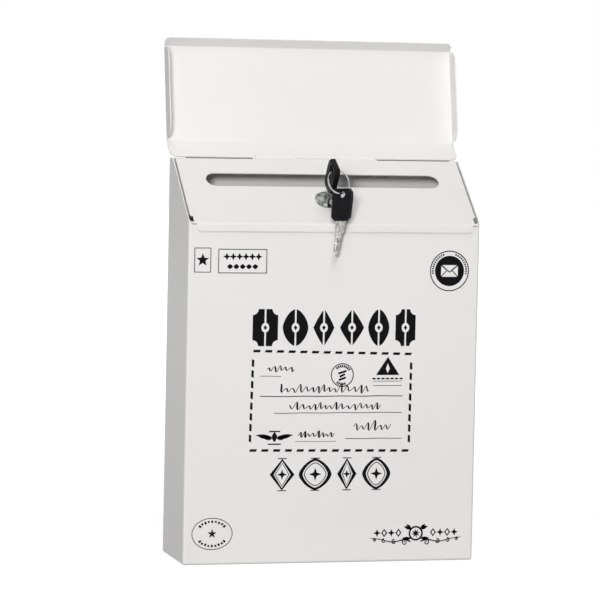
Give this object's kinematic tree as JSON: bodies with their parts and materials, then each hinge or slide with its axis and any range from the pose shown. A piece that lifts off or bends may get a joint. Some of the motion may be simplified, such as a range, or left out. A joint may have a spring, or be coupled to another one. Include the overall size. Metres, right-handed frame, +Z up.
{
  "type": "wall mounted post box",
  "caption": "Wall post box of folded sheet steel with a sloping lid, a wide letter slot under a rain flap, and a cam lock with keys on a ring.",
  "frame": {"origin": "centre of the four wall screw holes, on the back face that lies against the wall", "axes": "+X to the right seen from the front, +Y into the wall, +Z up"},
  "size_m": [0.2274, 0.1073, 0.3909],
  "materials": {
    "white_paint": "semi-gloss white powder coat",
    "steel": "zinc plated",
    "bright_plate": "bright nickel plate",
    "key_steel": "nickel plated, cut edges",
    "brass": "stamped",
    "black_plastic": "satin black moulding"
  },
  "bodies": {
    "box": {"body_shell": "white_paint", "back_panel": "white_paint", "door_hinge_wall_leaf": "white_paint", "door_hinge_pin": "steel"},
    "door": {"door_panel": "white_paint", "door_hinge_lid_leaf": "white_paint", "flap_hinge_lower_leaf": "white_paint", "flap_hinge_pin": "steel", "lock_housing": "bright_plate", "lock_nut": "steel"},
    "flap": {"rain_flap": "white_paint", "flap_hinge_upper_leaf": "white_paint"},
    "plug": {"lock_plug": "bright_plate", "lock_wafers": "brass", "lock_cam": "steel", "cam_washer": "steel", "cam_screw": "steel", "key_blade": "key_steel", "key_head": "black_plastic", "key_ring": "bright_plate"},
    "spare_key": {"spare_key_blade": "key_steel", "spare_key_head": "black_plastic"}
  },
  "joints": [
    {"name": "door_hinge", "type": "hinge", "parent": "box", "child": "door", "pos_m": [0, -0.0023, 0.1477], "axis": [-1, 0, 0], "range_deg": [0, 100]},
    {"name": "flap_hinge", "type": "hinge", "parent": "door", "child": "flap", "pos_m": [0, -0.004, 0.1515], "axis": [1, 0, 0], "range_deg": [0, 100]},
    {"name": "lock_turn", "type": "hinge", "parent": "door", "child": "plug", "pos_m": [-0.002, -0.04735, 0.12102], "axis": [0, -0.613, 0.7901], "range_deg": [-5, 85]},
    {"name": "spare_swing", "type": "hinge", "parent": "plug", "child": "spare_key", "pos_m": [0.00409, -0.07009, 0.12721], "axis": [0.7601, 0.622, -0.1881], "range_deg": [-51.5, 3.5]}
  ],
  "couplings": [
    {"joint": "spare_swing", "follows": "lock_turn", "ratio": -0.6}
  ]
}
